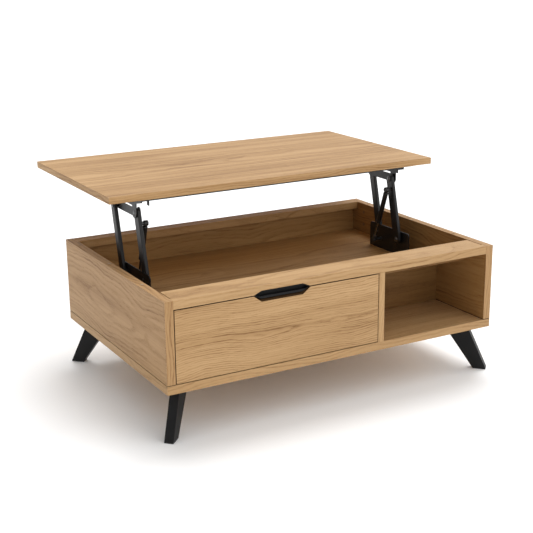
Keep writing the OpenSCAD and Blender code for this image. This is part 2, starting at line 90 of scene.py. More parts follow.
OAK_LIGHT = (0.540, 0.345, 0.172)
OAK_MID = (0.415, 0.250, 0.112)
OAK_DARK = (0.215, 0.108, 0.040)
OAK_TONES = (OAK_DARK, OAK_MID, OAK_LIGHT)
OAK_STOPS = (0.0, 0.55, 1.0)
BLACK_COAT = (0.0045, 0.0045, 0.0048)
CHARCOAL_COAT = (0.006, 0.006, 0.0062)
WHITE_FLOOR = (0.97, 0.97, 0.97)
FRESH = (1.0, 1.0, 1.0)
SHADED = (0.76, 0.68, 0.52)
DEEP_SHADE = (0.50, 0.42, 0.29)
LID_TINT = (0.97, 0.94, 0.89)
# Painted shade: the side panels are darkened as if in shade
SIDE_SHADE_TINT = (0.91, 0.88, 0.85)
# Painted shade: the back top rail is darkened as if in shade
RAIL_SHADE_TINT = (0.88, 0.84, 0.76)
DRAWER_BOX = (1.08, 1.06, 1.04)

# ---- Objects ----


def new_object(name, data):
    obj = bpy.data.objects.new(name, data)
    bpy.context.scene.collection.objects.link(obj)
    return obj


# ---- Shader graphs ----


class Graph:
    """Adds nodes to a shader tree. Each input takes a number, a tuple or another node's output."""

    def __init__(self, tree):
        self.tree = tree

    def node(self, kind, inputs=(), **properties):
        node = self.tree.nodes.new(kind)
        for name, value in properties.items():
            setattr(node, name, value)
        for name, value in dict(inputs).items():
            self.plug(node.inputs[name], value)
        return node

    def plug(self, socket, value):
        if isinstance(value, bpy.types.NodeSocket):
            self.tree.links.new(value, socket)
        elif isinstance(value, tuple) and socket.type == "RGBA":
            socket.default_value = (*value, 1.0)
        else:
            socket.default_value = value

    def math(self, operation, a, b=0.0, c=0.0, clamp=False):
        node = self.node("ShaderNodeMath", operation=operation, use_clamp=clamp)
        for socket, value in zip(node.inputs, (a, b, c)):
            self.plug(socket, value)
        return node.outputs[0]

    def add(self, *terms):
        total = terms[0]
        for term in terms[1:]:
            total = self.math("ADD", total, term)
        return total

    def mul(self, a, b):
        return self.math("MULTIPLY", a, b)

    def vector_math(self, operation, a, b=(0.0, 0.0, 0.0)):
        node = self.node("ShaderNodeVectorMath", operation=operation)
        self.plug(node.inputs[0], a)
        self.plug(node.inputs[1], b)
        return node.outputs[0]

    def split(self, vector):
        return self.node("ShaderNodeSeparateXYZ", {0: vector}).outputs

    def join(self, x, y, z):
        return self.node("ShaderNodeCombineXYZ", {0: x, 1: y, 2: z}).outputs[0]

    def noise(self, vector, stretch, detail=2.0, roughness=0.5):
        """Noise from 0 to 1; stretch is how many features a metre holds along each axis."""
        place = self.vector_math("MULTIPLY", vector, stretch)
        inputs = {"Vector": place, "Scale": 1.0, "Detail": detail, "Roughness": roughness}
        return self.node("ShaderNodeTexNoise", inputs).outputs[0]

    def swing(self, vector, stretch, amplitude, detail=2.0):
        """Noise from about -amplitude to +amplitude."""
        centred = self.math("SUBTRACT", self.noise(vector, stretch, detail), 0.5)
        return self.mul(centred, 2.0 * amplitude)

    def step(self, value, low, high):
        """0 below low, 1 above high, and smooth between them."""
        inputs = {"Value": value, "From Min": low, "From Max": high}
        node = self.node("ShaderNodeMapRange", inputs, interpolation_type="SMOOTHSTEP")
        return node.outputs[0]

    def ramp(self, factor, stops):
        node = self.node("ShaderNodeValToRGB", {0: factor})
        points = node.color_ramp.elements
        while len(points) < len(stops):
            points.new(0.5)
        for point, (position, colour) in zip(points, stops):
            point.position = position
            point.color = (*colour, 1.0)
        return node.outputs[0]

    def mix_node(self, kind, factor, a, b, **properties):
        node = self.node("ShaderNodeMix", **properties)
        for name, value in (("Factor_Float", factor), ("A_" + kind, a), ("B_" + kind, b)):
            socket = next(s for s in node.inputs if s.identifier == name)
            self.plug(socket, value)
        return next(s for s in node.outputs if s.identifier == "Result_" + kind)

    def mix(self, factor, a, b, blend_type="MIX"):
        return self.mix_node("Color", factor, a, b, data_type="RGBA", blend_type=blend_type)

    def mix_vector(self, factor, a, b):
        return self.mix_node("Vector", factor, a, b, data_type="VECTOR")


def new_material(name):
    """A material with an empty node tree, its graph and its principled shader."""
    material = bpy.data.materials.new(name)
    material.use_nodes = True
    material.node_tree.nodes.clear()
    graph = Graph(material.node_tree)
    shader = graph.node("ShaderNodeBsdfPrincipled")
    output = graph.node("ShaderNodeOutputMaterial")
    graph.plug(output.inputs["Surface"], shader.outputs[0])
    return material, graph, shader


def object_point(graph):
    return graph.node("ShaderNodeTexCoord").outputs["Object"]


def scaled(colour, factor):
    return tuple(channel * factor for channel in colour)


def even(count):
    """The stretch of a noise with the same number of features a metre in every direction."""
    return (count, count, count)


def bump(graph, shader, height, distance, strength):
    """Raises the shading by distance metres where height is 1."""
    node = graph.node("ShaderNodeBump", {"Height": height, "Distance": distance, "Strength": strength})
    graph.plug(shader.inputs["Normal"], node.outputs[0])


# ---- Oak ----

# Features a metre holds along the grain, across it and into the board
HEART_STRAY = (2.2, 0.6, 0.6)
HEART_RIPPLE = (9.0, 16.0, 16.0)
RING_DRIFT = (2.6, 1.0, 1.0)
RING_WAVES = (6.5, 15.0, 15.0)
RING_JITTER = (26.0, 90.0, 90.0)
BROKEN_RINGS = (14.0, 340.0, 340.0)
FAINT_RINGS = (3.5, 12.0, 12.0)
BANDS = (1.2, 24.0, 24.0)
STREAKS = (2.2, 90.0, 90.0)
FIBRES = (24.0, 800.0, 800.0)
CLOUDS = (1.3, 6.0, 6.0)
PORES = (110.0, 1900.0, 1900.0)
FLECKS = (34.0, 460.0, 460.0)

# Changes of ring width in a metre of radius, and how far one seed is from the next
UNEVEN_RINGS = 60.0
SEED_STEP = 7.31


def group_socket(tree, name, kind, in_out, value=None):
    socket = tree.interface.new_socket(name=name, in_out=in_out, socket_type=kind)
    if value is not None:
        socket.default_value = value


def oak_group():
    """The figure of a board: growth rings cut by the face, fibres and pores.

    Grain is a point in metres: x along the grain, y across it and z into the board.
    Depth is how far below the face the heart of the tree runs, Wander how far it strays.
    """
    tree = bpy.data.node_groups.new("oak_figure", "ShaderNodeTree")
    group_socket(tree, "Grain", "NodeSocketVector", "INPUT")
    for name in ("Seed", "Depth", "Wander", "Ring", "Contrast", "Streak"):
        group_socket(tree, name, "NodeSocketFloat", "INPUT", 0.0)
    for name in ("Tone", "Pores", "Height"):
        group_socket(tree, name, "NodeSocketFloat", "OUTPUT")
    g = Graph(tree)
    given = g.node("NodeGroupInput").outputs
    offset = g.mul(given["Seed"], SEED_STEP)
    point = g.vector_math("ADD", given["Grain"], g.join(offset, offset, offset))
    _, across, into = g.split(given["Grain"])

    # The heart strays along the grain, which closes the rings into arches and eyes
    heart = g.mul(g.math("SUBTRACT", g.noise(point, HEART_STRAY, 1.0), 0.5), given["Wander"])
    depth = g.add(given["Depth"], into, g.mul(heart, 2.0), g.swing(point, HEART_RIPPLE, 0.005))
    drift = g.swing(point, RING_DRIFT, 0.045, 1.0)
    waves = g.swing(point, RING_WAVES, 0.011, 3.0)
    sideways = g.add(across, drift, waves, g.swing(point, RING_JITTER, 0.0016))
    radius = g.math("SQRT", g.add(g.mul(depth, depth), g.mul(sideways, sideways)))
    uneven = g.noise(g.join(g.mul(radius, UNEVEN_RINGS), offset, 0.0), even(1.0), 1.0)
    rings = g.add(g.math("DIVIDE", radius, given["Ring"]), g.mul(uneven, 1.9))
    phase = g.math("FRACT", rings)
    count = g.math("FLOOR", rings)
    year = g.node("ShaderNodeTexWhiteNoise", {"W": count}, noise_dimensions="1D").outputs[0]

    # Each ring starts dark and porous, and fades into smooth late wood
    fade = g.math("SUBTRACT", 1.0, g.step(phase, 0.05, 0.62))
    onset = g.step(phase, 0.88, 1.0)
    early = g.math("MAXIMUM", fade, onset)
    broken = g.step(g.noise(point, BROKEN_RINGS, 2.0), 0.34, 0.62)
    faint = g.step(g.noise(point, FAINT_RINGS, 1.0), 0.30, 0.60)
    ring_mark = g.mul(early, g.mul(g.add(0.20, g.mul(year, 0.80)), g.add(0.35, g.mul(broken, 0.65))))
    ring_mark = g.mul(ring_mark, g.add(0.45, g.mul(faint, 0.55)))

    bands = g.swing(point, BANDS, 1.0, 2.0)
    streaks = g.swing(point, STREAKS, 1.0, 3.0)
    fibres = g.swing(point, FIBRES, 1.0, 2.0)
    clouds = g.swing(point, CLOUDS, 1.0, 2.0)
    pore_noise = g.noise(point, PORES, 1.0)
    pores = g.mul(g.step(pore_noise, 0.60, 0.70), g.add(0.25, g.mul(early, 0.75)))
    fleck_noise = g.noise(point, FLECKS, 2.0)
    flecks = g.mul(g.step(fleck_noise, 0.53, 0.66), g.add(0.40, g.mul(early, 0.60)))

    # Each mark darkens or lightens the wood by its own share of the contrast
    long_marks = g.mul(g.add(g.mul(bands, 0.34), g.mul(streaks, 0.30)), given["Streak"])
    marks = g.add(g.mul(ring_mark, -0.62), long_marks, g.mul(fibres, 0.13), g.mul(clouds, 0.22),
                  g.mul(flecks, -0.22))
    tone = g.math("ADD", 0.70, g.mul(marks, given["Contrast"]), clamp=True)
    height = g.add(g.mul(pores, -1.0), g.mul(fibres, 0.25), g.mul(early, -0.15))
    result = g.node("NodeGroupOutput")
    for name, value in (("Tone", tone), ("Pores", pores), ("Height", height)):
        g.plug(result.inputs[name], value)
    return tree


OAK_FIGURE = oak_group()

# A board's wood: the axis its grain follows, the axis its main face looks along, its seed, how deep
# under that face the heart runs and how far it strays, the width of a ring, contrast, streaks and a tint,
# which on some boards is painted shade. Seams name the edges with a glued strip, and edge_shade is
# painted shade that darkens the sides of a board as in a narrow gap.
Board = namedtuple(
    "Board",
    "grain normal seed depth wander ring contrast streak tint seams edge_shade",
    defaults=(FRESH, (), 1.0),
)

SIDE_SEAMS = ("front", "top")
BOARDS = {
    "lid_panel": Board(X, Z, 1, 0.16, 0.03, 0.008, 1.0, 1.7, LID_TINT),
    "bottom_panel": Board(X, Z, 2, 0.09, 0.04, 0.009, 0.8, 1.0),
    "left_side_panel": Board(Y, X, 3, 0.15, 0.02, 0.0065, 1.0, 1.1, SIDE_SHADE_TINT, SIDE_SEAMS),
    "right_side_panel": Board(Y, X, 4, 0.15, 0.02, 0.0065, 1.0, 1.1, SIDE_SHADE_TINT, SIDE_SEAMS),
    "back_panel": Board(X, Y, 5, 0.08, 0.05, 0.009, 1.0, 1.0, SHADED),
    "back_top_rail": Board(X, Y, 6, 0.15, 0.03, 0.007, 0.9, 1.0, RAIL_SHADE_TINT),
    "front_top_board": Board(X, Z, 7, 0.12, 0.03, 0.008, 0.8, 1.0),
    "divider_panel": Board(Y, X, 8, 0.07, 0.05, 0.008, 0.9, 1.0),
    "storage_floor": Board(X, Z, 9, 0.10, 0.04, 0.010, 0.8, 1.0, SHADED),
    "storage_slope": Board(X, Z, 10, 0.12, 0.03, 0.008, 0.8, 1.0, DEEP_SHADE),
    "storage_front_rail": Board(X, Y, 17, 0.12, 0.03, 0.008, 0.8, 1.0, DEEP_SHADE),
    "cubby_back": Board(X, Y, 18, 0.09, 0.05, 0.008, 0.9, 1.0, DEEP_SHADE),
    "drawer_front": Board(X, Y, 11, 0.022, 0.10, 0.0060, 1.1, 0.8, FRESH, (), 0.3),
    "drawer_inner_front": Board(X, Y, 12, 0.14, 0.03, 0.006, 0.7, 0.8, DRAWER_BOX),
    "drawer_left_side": Board(Y, X, 13, 0.14, 0.03, 0.006, 0.7, 0.8, DRAWER_BOX),
    "drawer_right_side": Board(Y, X, 14, 0.13, 0.03, 0.006, 0.7, 0.8, DRAWER_BOX),
    "drawer_back": Board(X, Y, 15, 0.14, 0.03, 0.006, 0.7, 0.8, DRAWER_BOX),
    "drawer_bottom": Board(X, Z, 16, 0.12, 0.03, 0.007, 0.7, 0.8, DRAWER_BOX),
}

# How squarely a face looks along an axis before it takes that axis's figure
SQUARE_ON = (0.68, 0.72)
LIPPING_W = 0.006
SEAM_W = 0.0004
FOOT_GAP = 0.0024
FOOT_SHADE = 0.2
END_OFFSET = (0.0, 0.19, 0.11)
EDGE_OFFSET = (0.37, 0.23, 0.15)


def seam_mask(g, point, node, seams):
    """Masks for the strips glued along a panel's edges, for their seams, and for its shaded foot."""
    low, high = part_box(node)
    parts = g.split(point)
    gaps = {
        "front": g.math("SUBTRACT", parts[Y], low.y),
        "top": g.math("SUBTRACT", high.z, parts[Z]),
    }
    nearest = gaps[seams[0]]
    for name in seams[1:]:
        nearest = g.math("MINIMUM", nearest, gaps[name])
    strip = g.step(nearest, LIPPING_W, LIPPING_W - SEAM_W)
    off_line = g.math("ABSOLUTE", g.math("SUBTRACT", nearest, LIPPING_W))
    line = g.math("SUBTRACT", 1.0, g.step(off_line, SEAM_W / 2, SEAM_W * 1.5))
    foot = g.step(g.math("SUBTRACT", parts[Z], low.z), FOOT_GAP, FOOT_GAP - SEAM_W)
    return strip, line, foot


def oak(node, board):
    """Oak veneer on one board. Its end faces carry a strip whose grain runs along the strip."""
    material, g, shader = new_material("oak_" + node)
    point = object_point(g)
    low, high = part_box(node)
    centre = (low + high) / 2
    local = g.vector_math("SUBTRACT", point, tuple(centre))
    parts = g.split(local)
    normals = g.split(g.node("ShaderNodeTexCoord").outputs["Normal"])
    grain, normal = board.grain, board.normal
    across = X + Y + Z - grain - normal
    on_end = g.step(g.math("ABSOLUTE", normals[grain]), *SQUARE_ON)
    on_edge = g.step(g.math("ABSOLUTE", normals[across]), *SQUARE_ON)
    if board.seams:
        strip, line, foot = seam_mask(g, point, node, board.seams)
        on_edge = g.math("MAXIMUM", on_edge, strip)
    face = g.join(parts[grain], parts[across], parts[normal])
    end = g.vector_math("ADD", g.join(parts[across], parts[normal], parts[grain]), END_OFFSET)
    edge = g.vector_math("ADD", g.join(parts[grain], parts[normal], parts[across]), EDGE_OFFSET)
    place = g.mix_vector(on_end, g.mix_vector(on_edge, face, edge), end)
    figure = g.node("ShaderNodeGroup", node_tree=OAK_FIGURE)
    g.plug(figure.inputs["Grain"], place)
    for name in ("Seed", "Depth", "Wander", "Ring", "Contrast", "Streak"):
        g.plug(figure.inputs[name], float(getattr(board, name.lower())))
    tone, pores, height = figure.outputs
    tinted_and_shaded = [tuple(c * t for c, t in zip(colour, board.tint)) for colour in OAK_TONES]
    dark = tinted_and_shaded[0]
    colour = g.ramp(tone, list(zip(OAK_STOPS, tinted_and_shaded)))
    colour = g.mix(g.mul(pores, 0.45), colour, dark)
    if board.seams:
        colour = g.mix(g.mul(line, 0.55), colour, dark)
        colour = g.mix(foot, colour, scaled(dark, FOOT_SHADE))

        # Painted shade: a side panel's face towards the storage well is darkened
        inward = g.mul(normals[X], -1.0 if centre.x > 0 else 1.0)
        colour = g.mix(g.step(inward, 0.5, 0.9), colour, SHADED, "MULTIPLY")
    # Painted shade: the board's sides are darkened as in a narrow gap
    if board.edge_shade < 1:
        colour = g.mix(g.math("MAXIMUM", on_edge, on_end), colour, scaled(dark, board.edge_shade))
    g.plug(shader.inputs["Base Color"], colour)
    g.plug(shader.inputs["Roughness"], g.add(0.54, g.mul(pores, 0.25), g.mul(tone, -0.08)))
    shader.inputs["Specular IOR Level"].default_value = 0.2
    bump(g, shader, height, 0.00012, 0.6)
    return material


# ---- Other materials ----

DRAWN_LINES = (80.0, 2500.0, 2500.0)
FELT_HAIRS = (1500.0, 1500.0, 300.0)


def powder_coat(name, colour, roughness=0.42, specular=0.38):
    """Black powder coat: a fine orange peel, with slightly worn and dusty patches."""
    material, g, shader = new_material(name)
    point = object_point(g)
    peel = g.noise(point, even(900.0), 2.0)
    patches = g.noise(point, even(14.0), 3.0)
    dust = g.step(patches, 0.35, 0.75)
    g.plug(shader.inputs["Base Color"], g.mix(dust, colour, scaled(colour, 1.7)))
    g.plug(shader.inputs["Roughness"], g.add(roughness - 0.06, g.mul(patches, 0.12)))
    shader.inputs["Specular IOR Level"].default_value = specular
    bump(g, shader, peel, 0.00010, 0.5)
    return material


def steel(name, colour, roughness):
    """Bare or plated steel, with fine drawn lines and cloudy plating."""
    material, g, shader = new_material(name)
    point = object_point(g)
    clouds = g.noise(point, even(60.0), 3.0)
    lines = g.noise(point, DRAWN_LINES, 1.0)
    g.plug(shader.inputs["Base Color"], g.mix(clouds, scaled(colour, 0.72), colour))
    g.plug(shader.inputs["Roughness"], g.add(roughness, g.mul(clouds, 0.12), g.mul(lines, 0.05)))
    shader.inputs["Metallic"].default_value = 1.0
    bump(g, shader, lines, 0.00003, 0.4)
    return material


def felt(name, colour):
    """Soft matt felt with short upright hairs."""
    material, g, shader = new_material(name)
    hairs = g.noise(object_point(g), FELT_HAIRS, 3.0, 0.7)
    g.plug(shader.inputs["Base Color"], g.mix(hairs, scaled(colour, 0.6), colour))
    shader.inputs["Roughness"].default_value = 0.95
    shader.inputs["Sheen Weight"].default_value = 0.3
    bump(g, shader, hairs, 0.0005, 0.8)
    return material


def plastic(name, colour, roughness):
    """Moulded plastic with a fine grain."""
    material, g, shader = new_material(name)
    grain = g.noise(object_point(g), even(1200.0), 2.0)
    g.plug(shader.inputs["Base Color"], g.mix(grain, scaled(colour, 0.85), colour))
    g.plug(shader.inputs["Roughness"], g.add(roughness, g.mul(grain, 0.08)))
    bump(g, shader, grain, 0.00006, 0.5)
    return material


def floor_material():
    material, g, shader = new_material("floor")
    clouds = g.noise(object_point(g), even(1.5), 2.0)
    g.plug(shader.inputs["Base Color"], g.mix(clouds, scaled(WHITE_FLOOR, 0.99), WHITE_FLOOR))
    shader.inputs["Roughness"].default_value = 0.9
    shader.inputs["Specular IOR Level"].default_value = 0.1
    return material


BLACK = powder_coat("black_powder_coat", BLACK_COAT)
CHARCOAL = powder_coat("charcoal_powder_coat", CHARCOAL_COAT, 0.50, 0.20)
PULL_BLACK = powder_coat("black_pull_coat", BLACK_COAT, 0.60, 0.22)
DARK_STEEL = steel("dark_zinc", (0.16, 0.16, 0.165), 0.26)
ZINC = steel("bright_zinc", (0.62, 0.62, 0.60), 0.28)
CHROME = steel("polished_rod", (0.20, 0.20, 0.21), 0.16)
FELT = felt("tan_felt", (0.42, 0.27, 0.14))
GLIDE = plastic("black_glide", (0.02, 0.02, 0.02), 0.55)
SOCKET = plastic("black_nylon", (0.012, 0.012, 0.012), 0.42)
COVER_BROWN = plastic("brown_cover", (0.20, 0.11, 0.045), 0.5)

NODE_MATERIALS = {
    "leg_front_left": CHARCOAL, "leg_front_right": CHARCOAL,
    "leg_back_left": CHARCOAL, "leg_back_right": CHARCOAL,
    "mech_base_left": BLACK, "mech_base_right": BLACK,
    "front_arm_left": BLACK, "front_arm_right": BLACK, "rear_arm_left": BLACK, "rear_arm_right": BLACK,
    "lid_bracket_left": BLACK, "lid_bracket_right": BLACK, "lid_crossbar": BLACK,
    "drawer_pull": PULL_BLACK,
    "foot_glides": GLIDE, "lid_bumpers": FELT,
}

# ---- CAD nodes ----

WELD_WITHIN = 1e-5
FLAT_WITHIN = radians(0.5)
ROUND_ABOVE = radians(35)
BEVEL_SEGMENTS = 3


def clean_up_group():
    """Geometry nodes that join the split corners of an imported mesh and shade it smooth."""
    tree = bpy.data.node_groups.new("clean_up", "GeometryNodeTree")
    group_socket(tree, "Geometry", "NodeSocketGeometry", "INPUT")
    group_socket(tree, "Geometry", "NodeSocketGeometry", "OUTPUT")
    start = tree.nodes.new("NodeGroupInput")
    bare = tree.nodes.new("GeometryNodeRemoveAttribute")
    bare.inputs["Name"].default_value = "custom_normal"
    weld = tree.nodes.new("GeometryNodeMergeByDistance")
    weld.inputs["Distance"].default_value = WELD_WITHIN
    smooth = tree.nodes.new("GeometryNodeSetShadeSmooth")
    end = tree.nodes.new("NodeGroupOutput")
    for a, b in ((start, bare), (bare, weld), (weld, smooth), (smooth, end)):
        tree.links.new(a.outputs[0], b.inputs[0])
    return tree


CLEAN_UP = clean_up_group()
BEVELS = {"lid_panel": 0.0016, "drawer_front": 0.0012, "drawer_pull": 0.0004, "foot_glides": 0.001}
WOOD_BEVEL = 0.0012
STEEL_BEVEL = 0.0006


def finish_edges(obj, width):
    """Rounds the sharp edges of a CAD node's shape with modifiers."""
    clean = obj.modifiers.new("clean", "NODES")
    clean.node_group = CLEAN_UP
    flat = obj.modifiers.new("flat", "DECIMATE")
    flat.decimate_type = "DISSOLVE"
    flat.angle_limit = FLAT_WITHIN
    rounded = obj.modifiers.new("rounded", "BEVEL")
    rounded.width = width
    rounded.segments = BEVEL_SEGMENTS
    rounded.limit_method = "ANGLE"
    rounded.angle_limit = ROUND_ABOVE
    rounded.harden_normals = True


def dress(name, material, width):
    obj = frame["nodes"][name]
    for slot in obj.material_slots:
        slot.link = "OBJECT"
        slot.material = material
    finish_edges(obj, width)


def dress_cad_nodes():
    for name in frame["nodes"]:
        if name in BOARDS:
            dress(name, oak(name, BOARDS[name]), BEVELS.get(name, WOOD_BEVEL))
        else:
            dress(name, NODE_MATERIALS.get(name, ZINC), BEVELS.get(name, STEEL_BEVEL))


# ---- Small parts: from here to the stage, shapes are in millimetres and places in metres ----

MM = 0.001
TURN_SIDES = 40
SMOOTH_BELOW = radians(38)
SAME_POINT = 1e-6


def lathe(profile, sides=TURN_SIDES):
    """A closed solid turned around Z from (radius, height) points that start and end on the axis.

    A radius may be a function of the angle, as on a thread.
    """
    shape = bmesh.new()
    rings = []
    for radius, height in profile:
        if radius == 0:
            rings.append([shape.verts.new((0, 0, height * MM))])
            continue
        ring = []
        for k in range(sides):
            angle = 2 * pi * k / sides
            r = (radius(angle) if callable(radius) else radius) * MM
            ring.append(shape.verts.new((r * cos(angle), r * sin(angle), height * MM)))
        rings.append(ring)
    for lower, upper in zip(rings, rings[1:]):
        for k in range(sides):
            n = (k + 1) % sides
            around = ((lower, k), (lower, n), (upper, n), (upper, k))
            corners = [ring[j % len(ring)] for ring, j in around]
            shape.faces.new(dict.fromkeys(corners))
    bmesh.ops.recalc_face_normals(shape, faces=shape.faces)
    return to_mesh(shape)


def to_mesh(shape):
    mesh = bpy.data.meshes.new("shape")
    shape.to_mesh(mesh)
    shape.free()
    return mesh


def arc(radius, start, end, steps):
    """Points (radius, height) along an arc about the axis at z = 0, with its angles in degrees."""
    angles = [radians(start + (end - start) * k / steps) for k in range(steps + 1)]
    return [(radius * cos(angle), radius * sin(angle)) for angle in angles]


def combine(mesh, tool, operation):
    """The union or the difference of two closed shapes."""
    target = new_object("target", mesh)
    other = new_object("tool", tool)
    modifier = target.modifiers.new("combine", "BOOLEAN")
    modifier.operation = operation
    modifier.object = other
    modifier.solver = "EXACT"
    evaluated = target.evaluated_get(bpy.context.evaluated_depsgraph_get())
    done = bpy.data.meshes.new_from_object(evaluated)
    for obj in (target, other):
        bpy.data.objects.remove(obj)
    return done


def moved(mesh, place):
    copy = mesh.copy()
    copy.transform(place)
    return copy


def add_piece(name, parts, material, body, replaced=()):
    """One object from (mesh, placement) pairs, with crisp edges where its faces turn sharply."""
    shape = bmesh.new()
    for mesh, place in parts:
        shape.from_mesh(moved(mesh, place))
    mesh = to_mesh(shape)
    mesh.materials.clear()
    mesh.materials.append(material)
    mesh.shade_smooth()
    mesh.set_sharp_from_angle(angle=SMOOTH_BELOW)
    obj = new_object(name, mesh)
    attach(obj, body)
    if replaced:
        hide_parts(*replaced)


def outward(side, place):
    """A placement whose Z axis points away from the table's middle, on the left (-1) or right (+1)."""
    turn = Matrix.Rotation(side * pi / 2, 4, "Y")
    return Matrix.Translation((side * place[X], place[Y], place[Z])) @ turn


def solids(node):
    """The lowest and highest corner of each separate solid of a CAD node."""
    shape = bmesh.new()
    shape.from_mesh(frame["nodes"][node].data)
    bmesh.ops.remove_doubles(shape, verts=shape.verts, dist=SAME_POINT)
    boxes, seen = [], set()
    for first in shape.verts:
        if first in seen:
            continue
        island, waiting = [], [first]
        seen.add(first)
        while waiting:
            vertex = waiting.pop()
            island.append(vertex.co.copy())
            for edge in vertex.link_edges:
                other = edge.other_vert(vertex)
                if other not in seen:
                    seen.add(other)
                    waiting.append(other)
        low, high = (Vector(pick(p[k] for p in island) for k in (X, Y, Z)) for pick in (min, max))
        boxes.append((low, high))
    shape.free()
    return boxes


# ---- Screws ----

SCREW_R = 2.2
SCREW_PITCH = 1.6
PAN_HEAD_T = 2.4
CROSS_W = 1.0
CROSS_DEPTH = 1.4
CONFIRMAT_R = 3.5
CONFIRMAT_PITCH = 3.0
FLAT_HEAD_T = 4.0
FLAT_HEAD_SUNK = 0.2
HEX_SOCKET_R = 2.3
HEX_SOCKET_DEPTH = 3.0
THREAD_SIDES = 20
THREAD_RINGS = 4

# How far outside the head each cutter starts
CROSS_OUT = 0.2
SOCKET_OUT = 0.5


def thread(radius, depth, pitch, start, end):
    """Rings of a helical thread, THREAD_RINGS to a turn."""
    rings = []
    for k in range(int((end - start) / pitch * THREAD_RINGS) + 1):
        height = start + k * pitch / THREAD_RINGS

        def ring(angle, height=height):
            return radius - depth * abs(2 * ((height / pitch - angle / (2 * pi)) % 1) - 1)

        rings.append((ring, height))
    return rings


def cross_cutter(reach, width, low, high):
    """A cross-shaped bit that narrows upwards, into the screw."""
    shape = bmesh.new()
    w = width / 2
    corners = [(w, w), (w, reach), (-w, reach)]
    for _ in range(3):
        corners += [(-y, x) for x, y in corners[-3:]]
    rings = []
    for height, scale in ((low, 1.0), (high, 0.6)):
        points = [(x * scale * MM, y * scale * MM, height * MM) for x, y in corners]
        rings.append([shape.verts.new(point) for point in points])
    shape.faces.new(rings[0])
    shape.faces.new(rings[1])
    for k in range(len(corners)):
        n = (k + 1) % len(corners)
        shape.faces.new((rings[0][k], rings[0][n], rings[1][n], rings[1][k]))
    bmesh.ops.recalc_face_normals(shape, faces=shape.faces)
    return to_mesh(shape)


def pan_screw(length, head_r):
    """A pan-head screw that points up, with its head below z = 0 and a cross recess in it."""
    head_t = PAN_HEAD_T
    head = [(0, -head_t), (head_r * 0.55, -head_t), (head_r * 0.8, -head_t * 0.86),
            (head_r * 0.95, -head_t * 0.55), (head_r, -head_t * 0.2), (head_r * 0.98, 0)]
    shank = [(SCREW_R * 0.8, 0), (SCREW_R * 0.8, 1.0)]
    turns = thread(SCREW_R, 0.5, SCREW_PITCH, 1.2, length - 1.8)
    tip = [(SCREW_R * 0.7, length - 1.6), (0.3, length), (0, length)]
    cross = cross_cutter(head_r * 0.55, CROSS_W, -head_t - CROSS_OUT, -head_t + CROSS_DEPTH)
    return combine(lathe(head + shank + turns + tip, THREAD_SIDES), cross, "DIFFERENCE")


def hex_screw(length, head_r):
    """A furniture screw that points up from z = 0, with its flat head sunk and a hexagon socket."""
    face, neck = FLAT_HEAD_SUNK, FLAT_HEAD_T
    head = [(0, face), (head_r - 0.3, face), (head_r, 0.5)]
    head += [(head_r, neck - 0.4), (CONFIRMAT_R, neck + 0.4)]
    turns = thread(CONFIRMAT_R, 0.7, CONFIRMAT_PITCH, 6.0, length - 5.0)
    tip = [(1.8, length - 3.0), (0.4, length), (0, length)]
    start = -SOCKET_OUT
    socket = lathe([(0, start), (HEX_SOCKET_R, start), (HEX_SOCKET_R, HEX_SOCKET_DEPTH), (0, 3.4)], 6)
    return combine(lathe(head + turns + tip, THREAD_SIDES), socket, "DIFFERENCE")


def add_screws(node, body, kind, head_side, axis=Z):
    """Puts a detailed screw in the place of each solid of a node.

    The heads look along the axis when head_side is +1, and against it when it is -1.
    """
    boxes = solids(node)
    low, high = boxes[0]
    head_out = 0 if kind is hex_screw else PAN_HEAD_T
    screw = kind((high[axis] - low[axis]) / MM - head_out, (high.x - low.x) / 2 / MM)
    if axis == Y:
        turn = Matrix.Rotation(pi / 2, 4, "X")
    else:
        turn = Matrix.Rotation(pi, 4, "X") if head_side > 0 else Matrix.Identity(4)
    parts = []
    for low, high in boxes:
        place = (low + high) / 2
        place[axis] = high[axis] - head_out * MM if head_side > 0 else low[axis] + head_out * MM
        parts.append((screw, Matrix.Translation(place) @ turn))
    add_piece(node + "_detailed", parts, ZINC, body, (node,))


def add_all_screws():
    add_screws("carcass_screws", "carcass", hex_screw, -1)
    add_screws("leg_screws", "carcass", pan_screw, -1)
    add_screws("mech_base_screws", "carcass", pan_screw, 1)
    add_screws("lid_bracket_screws", "lid", pan_screw, -1)
    add_screws("drawer_front_screws", "drawer", pan_screw, 1, Y)


# ---- Lift: pivot pins ----

JOINTS = {joint["name"]: joint for joint in frame["joints"]}
SIDES = (("left", -1), ("right", 1))
WEB_T = 3.0
PIN_R = 5.0
PLAY = 0.5
RIVET_R = 7.0
RIVET_T = 1.5
WASHER_R = 9.0
WASHER_TOP = 1.9
DOME_R = 5.6
DOME_TOP = 4.0
DOME_STEPS = 6


def span_x(node):
    """The inboard and the outboard face of a right-hand node, in millimetres."""
    low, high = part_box(node)
    return low.x / MM, high.x / MM


def dome(top, base, radius):
    """A rounded rivet head, from its tip on the axis at height top to its rim at height base."""
    rise = base - top
    angles = [radians(90 * k / DOME_STEPS) for k in range(DOME_STEPS + 1)]
    return [(radius * sin(angle), base - rise * cos(angle)) for angle in angles]


def pin_head(face, way):
    """A dome on a washer, from its tip to the pin at an arm's face; way is +1 or -1, towards the tip."""
    top = face + way * WASHER_TOP
    washer = [(WASHER_R - 0.4, top), (WASHER_R, face + way * 1.6), (WASHER_R, face + way * 0.6)]
    return dome(face + way * DOME_TOP, top, DOME_R) + washer + [(PIN_R, face + way * PLAY)]


def inboard_pin(arm_in, arm_out, web_in):
    """A pivot pin with its head inboard of the arm, a spacer, and its tail riveted over the web."""
    spacer = [(PIN_R, arm_out + PLAY), (RIVET_R, arm_out + PLAY), (RIVET_R, web_in), (PIN_R, web_in)]
    web_out = web_in + WEB_T
    tail = [(PIN_R, web_out)] + dome(web_out + RIVET_T, web_out, RIVET_R)[::-1]
    return lathe(pin_head(arm_in, -1) + spacer + tail)


